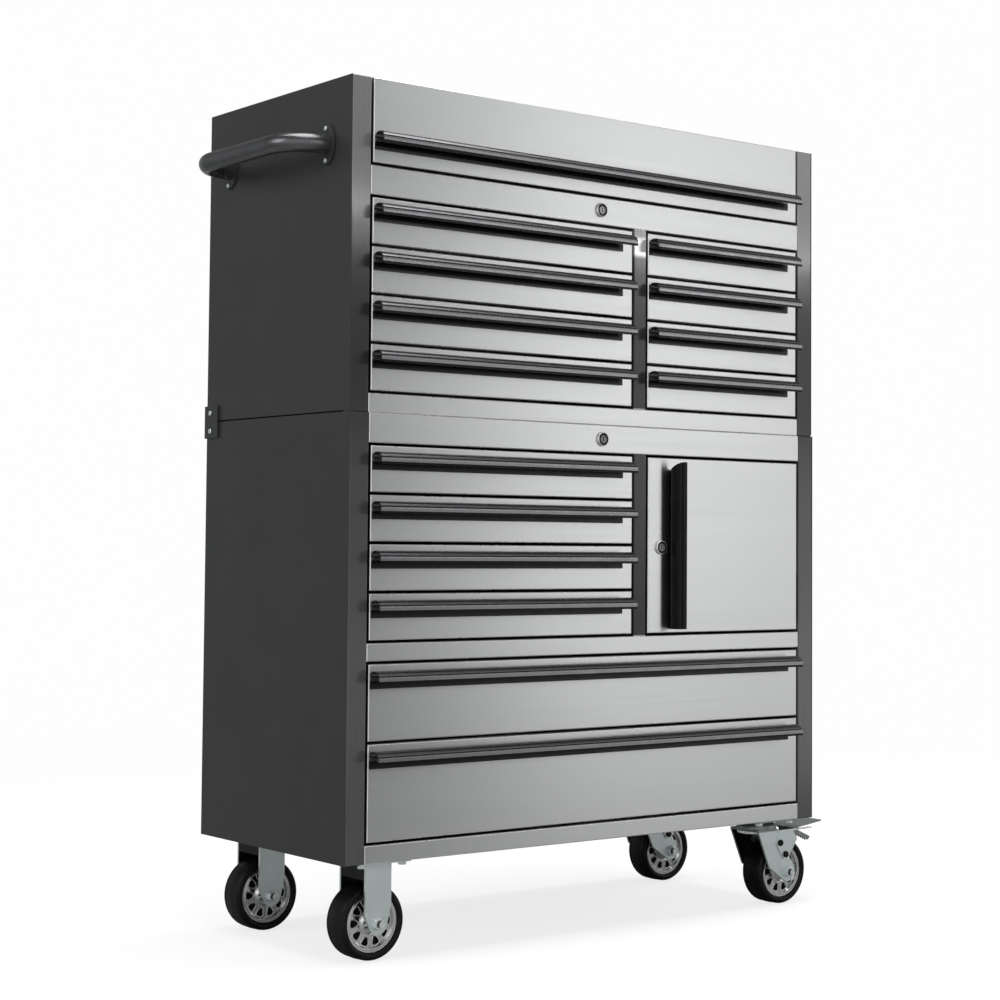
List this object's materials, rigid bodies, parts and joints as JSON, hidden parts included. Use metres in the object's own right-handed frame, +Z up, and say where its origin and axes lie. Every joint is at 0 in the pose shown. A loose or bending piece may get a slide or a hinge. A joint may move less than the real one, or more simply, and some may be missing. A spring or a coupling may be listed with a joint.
{
  "type": "rolling tool chest",
  "caption": "Two-section rolling tool chest: flip-up lid and drawers above, drawers and a door cupboard below, hooked bar handles, tube push handle, rigid and braked swivel casters.",
  "frame": {"origin": "centre of the bounding box, on the floor under the casters", "axes": "+Z up, fronts face -Y, push handle and fixed casters at the -X side, swivel casters at the +X side"},
  "size_m": [1.214, 0.4914, 1.4415],
  "materials": {
    "stainless": "brushed",
    "charcoal": "fine textured powder coat",
    "handle_black": "satin black anodised",
    "tube_grey": "satin metallic grey",
    "zinc": "satin zinc plate",
    "bright": "polished",
    "rim": "polished casting",
    "tyre_black": "satin rubber"
  },
  "bodies": {
    "chest": {"lower_shell": "charcoal", "upper_shell": "charcoal", "front_frame": "stainless", "slide_channels": "zinc", "hinge_leaves": "zinc", "lock_housings": "bright", "push_handle": "tube_grey", "joining_brackets": "charcoal", "fasteners": "zinc", "rigid_caster_brackets": "zinc", "swivel_plates": "zinc"},
    "lid": {"lid_shell": "stainless", "lid_handle": "handle_black"},
    "strut_cylinder_pair": {"strut_cylinders": "handle_black"},
    "strut_rod_pair": {"strut_rods": "bright"},
    "wide_drawer_2": {"wide_drawer_2_box": "stainless", "wide_drawer_2_handle": "handle_black"},
    "wide_drawer_1": {"wide_drawer_1_box": "stainless", "wide_drawer_1_handle": "handle_black"},
    "lower_left_drawer_4": {"lower_left_drawer_4_box": "stainless", "lower_left_drawer_4_handle": "handle_black"},
    "upper_left_drawer_4": {"upper_left_drawer_4_box": "stainless", "upper_left_drawer_4_handle": "handle_black"},
    "upper_right_drawer_4": {"upper_right_drawer_4_box": "stainless", "upper_right_drawer_4_handle": "handle_black"},
    "lower_left_drawer_3": {"lower_left_drawer_3_box": "stainless", "lower_left_drawer_3_handle": "handle_black"},
    "upper_left_drawer_3": {"upper_left_drawer_3_box": "stainless", "upper_left_drawer_3_handle": "handle_black"},
    "upper_right_drawer_3": {"upper_right_drawer_3_box": "stainless", "upper_right_drawer_3_handle": "handle_black"},
    "lower_left_drawer_2": {"lower_left_drawer_2_box": "stainless", "lower_left_drawer_2_handle": "handle_black"},
    "upper_left_drawer_2": {"upper_left_drawer_2_box": "stainless", "upper_left_drawer_2_handle": "handle_black"},
    "upper_right_drawer_2": {"upper_right_drawer_2_box": "stainless", "upper_right_drawer_2_handle": "handle_black"},
    "lower_left_drawer_1": {"lower_left_drawer_1_box": "stainless", "lower_left_drawer_1_handle": "handle_black"},
    "upper_left_drawer_1": {"upper_left_drawer_1_box": "stainless", "upper_left_drawer_1_handle": "handle_black"},
    "upper_right_drawer_1": {"upper_right_drawer_1_box": "stainless", "upper_right_drawer_1_handle": "handle_black"},
    "door": {"door_panel": "stainless", "door_handle": "handle_black"},
    "upper_lock": {"upper_lock_plug": "bright"},
    "lower_lock": {"lower_lock_plug": "bright"},
    "door_lock": {"door_lock_plug": "bright"},
    "front_swivel": {"front_swivel_fork": "zinc"},
    "front_brake": {"front_brake_pedal": "zinc"},
    "front_left_wheel": {"front_left_tyre": "tyre_black", "front_left_hub": "rim"},
    "front_right_wheel": {"front_right_tyre": "tyre_black", "front_right_hub": "rim"},
    "rear_swivel": {"rear_swivel_fork": "zinc"},
    "rear_brake": {"rear_brake_pedal": "zinc"},
    "rear_left_wheel": {"rear_left_tyre": "tyre_black", "rear_left_hub": "rim"},
    "rear_right_wheel": {"rear_right_tyre": "tyre_black", "rear_right_hub": "rim"}
  },
  "joints": [
    {"name": "lid_hinge", "type": "hinge", "parent": "chest", "child": "lid", "pos_m": [0.0135, 0.22625, 1.437], "axis": [-1, 0, 0], "range_deg": [0, 75]},
    {"name": "strut_swing", "type": "hinge", "parent": "chest", "child": "strut_cylinder_pair", "pos_m": [0.0135, 0.21225, 1.275], "axis": [-1, 0, 0], "range_deg": [0, 25.52]},
    {"name": "strut_extend", "type": "slide", "parent": "strut_cylinder_pair", "child": "strut_rod_pair", "axis": [0, -0.5196, 0.8544], "range_m": [0, 0.08706]},
    {"name": "wide_drawer_2_slide", "type": "slide", "parent": "chest", "child": "wide_drawer_2", "axis": [0, -1, 0], "range_m": [0, 0.3]},
    {"name": "wide_drawer_1_slide", "type": "slide", "parent": "chest", "child": "wide_drawer_1", "axis": [0, -1, 0], "range_m": [0, 0.3]},
    {"name": "lower_left_drawer_4_slide", "type": "slide", "parent": "chest", "child": "lower_left_drawer_4", "axis": [0, -1, 0], "range_m": [0, 0.3]},
    {"name": "upper_left_drawer_4_slide", "type": "slide", "parent": "chest", "child": "upper_left_drawer_4", "axis": [0, -1, 0], "range_m": [0, 0.3]},
    {"name": "upper_right_drawer_4_slide", "type": "slide", "parent": "chest", "child": "upper_right_drawer_4", "axis": [0, -1, 0], "range_m": [0, 0.3]},
    {"name": "lower_left_drawer_3_slide", "type": "slide", "parent": "chest", "child": "lower_left_drawer_3", "axis": [0, -1, 0], "range_m": [0, 0.3]},
    {"name": "upper_left_drawer_3_slide", "type": "slide", "parent": "chest", "child": "upper_left_drawer_3", "axis": [0, -1, 0], "range_m": [0, 0.3]},
    {"name": "upper_right_drawer_3_slide", "type": "slide", "parent": "chest", "child": "upper_right_drawer_3", "axis": [0, -1, 0], "range_m": [0, 0.3]},
    {"name": "lower_left_drawer_2_slide", "type": "slide", "parent": "chest", "child": "lower_left_drawer_2", "axis": [0, -1, 0], "range_m": [0, 0.3]},
    {"name": "upper_left_drawer_2_slide", "type": "slide", "parent": "chest", "child": "upper_left_drawer_2", "axis": [0, -1, 0], "range_m": [0, 0.3]},
    {"name": "upper_right_drawer_2_slide", "type": "slide", "parent": "chest", "child": "upper_right_drawer_2", "axis": [0, -1, 0], "range_m": [0, 0.3]},
    {"name": "lower_left_drawer_1_slide", "type": "slide", "parent": "chest", "child": "lower_left_drawer_1", "axis": [0, -1, 0], "range_m": [0, 0.3]},
    {"name": "upper_left_drawer_1_slide", "type": "slide", "parent": "chest", "child": "upper_left_drawer_1", "axis": [0, -1, 0], "range_m": [0, 0.3]},
    {"name": "upper_right_drawer_1_slide", "type": "slide", "parent": "chest", "child": "upper_right_drawer_1", "axis": [0, -1, 0], "range_m": [0, 0.3]},
    {"name": "door_hinge", "type": "hinge", "parent": "chest", "child": "door", "pos_m": [0.50625, -0.21655, 0.681], "axis": [0, 0, 1], "range_deg": [0, 110]},
    {"name": "upper_lock_turn", "type": "hinge", "parent": "chest", "child": "upper_lock", "pos_m": [0.012, -0.21475, 1.274], "axis": [0, -1, 0], "range_deg": [0, 90]},
    {"name": "lower_lock_turn", "type": "hinge", "parent": "chest", "child": "lower_lock", "pos_m": [0.015, -0.21775, 0.867], "axis": [0, -1, 0], "range_deg": [0, 90]},
    {"name": "door_lock_turn", "type": "hinge", "parent": "door", "child": "door_lock", "pos_m": [0.155, -0.21775, 0.677], "axis": [0, -1, 0], "range_deg": [0, 90]},
    {"name": "front_caster_swivel", "type": "hinge", "parent": "chest", "child": "front_swivel", "pos_m": [0.462, -0.15325, 0.155], "axis": [0, 0, 1], "continuous": true},
    {"name": "front_brake_press", "type": "hinge", "parent": "front_swivel", "child": "front_brake", "pos_m": [0.486, -0.15325, 0.119], "axis": [0, 1, 0], "range_deg": [0, 7]},
    {"name": "front_left_wheel_spin", "type": "hinge", "parent": "chest", "child": "front_left_wheel", "pos_m": [-0.435, -0.15325, 0.0625], "axis": [0, 1, 0], "continuous": true},
    {"name": "front_right_wheel_spin", "type": "hinge", "parent": "front_swivel", "child": "front_right_wheel", "pos_m": [0.509, -0.15325, 0.0625], "axis": [0, 1, 0], "continuous": true},
    {"name": "rear_caster_swivel", "type": "hinge", "parent": "chest", "child": "rear_swivel", "pos_m": [0.462, 0.17475, 0.155], "axis": [0, 0, 1], "continuous": true},
    {"name": "rear_brake_press", "type": "hinge", "parent": "rear_swivel", "child": "rear_brake", "pos_m": [0.486, 0.17475, 0.119], "axis": [0, 1, 0], "range_deg": [0, 7]},
    {"name": "rear_left_wheel_spin", "type": "hinge", "parent": "chest", "child": "rear_left_wheel", "pos_m": [-0.435, 0.17475, 0.0625], "axis": [0, 1, 0], "continuous": true},
    {"name": "rear_right_wheel_spin", "type": "hinge", "parent": "rear_swivel", "child": "rear_right_wheel", "pos_m": [0.509, 0.17475, 0.0625], "axis": [0, 1, 0], "continuous": true}
  ],
  "couplings": [
    {"joint": "strut_swing", "follows": "lid_hinge", "ratio": 0.33962},
    {"joint": "strut_extend", "follows": "lid_hinge", "m_per_rad": 0.066435}
  ]
}
